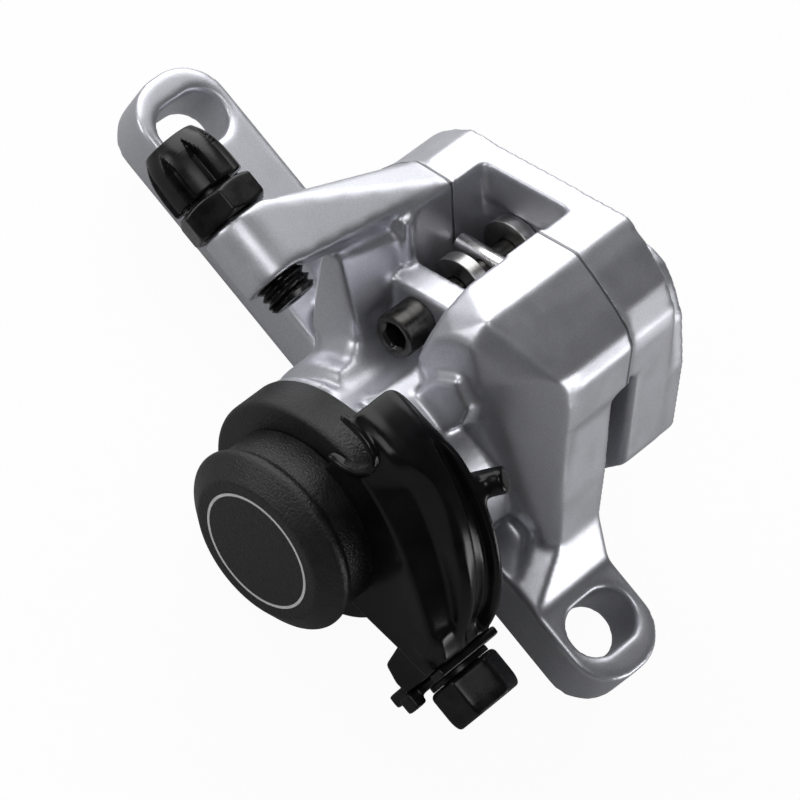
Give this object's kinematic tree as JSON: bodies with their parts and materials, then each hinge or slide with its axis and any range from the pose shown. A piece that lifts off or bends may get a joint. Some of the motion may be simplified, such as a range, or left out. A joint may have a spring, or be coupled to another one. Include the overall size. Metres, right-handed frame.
{
  "type": "bicycle disc brake caliper",
  "caption": "Cable-pulled disc brake caliper with slotted post ears, windowed cast bridge, ball-ramp lever arm, pads, round cap and threaded cable adjuster.",
  "frame": {"origin": "midway between the two post bolts, in the plane of the faces that meet the frame or fork", "axes": "+X along the two ears towards the end with the lever clamp, +Y inboard along the pad axis, +Z away from the frame along the post bolts"},
  "size_m": [0.088, 0.0519, 0.0445],
  "materials": {
    "cast_aluminium": "satin silver casting with a fine sparkle",
    "gloss_black": "gloss black enamel on pressed steel",
    "black_plastic": "fine-grained black moulding",
    "black_alloy": "black anodised",
    "dark_steel": "dark oiled steel",
    "steel": "bright steel",
    "spring_steel": "bright rolled strip",
    "bearing_steel": "polished",
    "brass": "stamped",
    "rubber": "matt",
    "friction": "resin-bonded friction compound"
  },
  "bodies": {
    "caliper": {"caliper_body": "cast_aluminium", "dust_cover": "black_plastic", "fixed_ramp": "steel", "ramp_retainer": "steel", "spindle_seal": "rubber", "plunger_seal": "rubber", "return_spring": "spring_steel", "pad_axle": "dark_steel", "axle_clip": "spring_steel", "pad_spring": "spring_steel", "adjuster_ring": "rubber"},
    "lever": {"arm": "gloss_black", "ramp_spindle": "steel", "arm_washer": "steel", "arm_nut": "steel", "cap": "black_plastic", "clamp_plate": "black_alloy", "clamp_washer": "black_alloy"},
    "clamp_screw": {"clamp_bolt": "black_alloy"},
    "ball_ring": {"ball_cage": "brass", "ramp_balls": "bearing_steel"},
    "piston": {"plunger": "steel", "thrust_washer": "steel"},
    "outer_pad": {"outer_pad_plate": "steel", "outer_lining": "friction"},
    "adjuster": {"inner_adjuster": "black_plastic"},
    "inner_pad": {"inner_pad_plate": "steel", "inner_lining": "friction"},
    "cable_adjuster": {"barrel_adjuster": "black_alloy"},
    "lock_nut": {"barrel_lock_nut": "black_alloy"}
  },
  "joints": [
    {"name": "lever_pivot", "type": "hinge", "parent": "caliper", "child": "lever", "pos_m": [0.0068, -0.023, 0.0089], "axis": [0, -1, 0], "range_deg": [0, 28], "stiffness_Nm_per_rad": 0.3, "springref_deg": -8.59},
    {"name": "ball_ring_turn", "type": "hinge", "parent": "caliper", "child": "ball_ring", "pos_m": [0.0068, -0.0121, 0.0089], "axis": [0, -1, 0], "range_deg": [0, 14.5]},
    {"name": "plunger_slide", "type": "slide", "parent": "caliper", "child": "piston", "axis": [0, 1, 0], "range_m": [0, 0.0011], "deforming": ["return_spring"]},
    {"name": "outer_pad_slide", "type": "slide", "parent": "caliper", "child": "outer_pad", "axis": [0, 1, 0], "range_m": [0, 0.0011], "deforming": ["pad_spring"]},
    {"name": "inboard_adjuster_turn", "type": "hinge", "parent": "caliper", "child": "adjuster", "pos_m": [0.0068, 0.0194, 0.0089], "axis": [0, -1, 0], "range_deg": [0, 390]},
    {"name": "inner_pad_slide", "type": "slide", "parent": "caliper", "child": "inner_pad", "axis": [0, -1, 0], "range_m": [0, 0.00108]},
    {"name": "cable_adjuster_turn", "type": "hinge", "parent": "caliper", "child": "cable_adjuster", "pos_m": [-0.0224, -0.017, 0.027], "axis": [1, 0, 0], "range_deg": [0, 1080]},
    {"name": "lock_nut_turn", "type": "hinge", "parent": "caliper", "child": "lock_nut", "pos_m": [-0.0241, -0.017, 0.027], "axis": [1, 0, 0], "range_deg": [0, 360]},
    {"name": "clamp_bolt_turn", "type": "hinge", "parent": "lever", "child": "clamp_screw", "pos_m": [0.0296, -0.017, 0.0043], "axis": [-1, 0, 0], "range_deg": [0, 360]}
  ],
  "couplings": [
    {"joint": "ball_ring_turn", "follows": "lever_pivot", "ratio": 0.5},
    {"joint": "plunger_slide", "follows": "lever_pivot", "m_per_rad": 0.00225},
    {"joint": "outer_pad_slide", "follows": "lever_pivot", "m_per_rad": 0.00225},
    {"joint": "inboard_adjuster_turn", "follows": "inner_pad_slide", "rad_per_m": 6283.2}
  ]
}
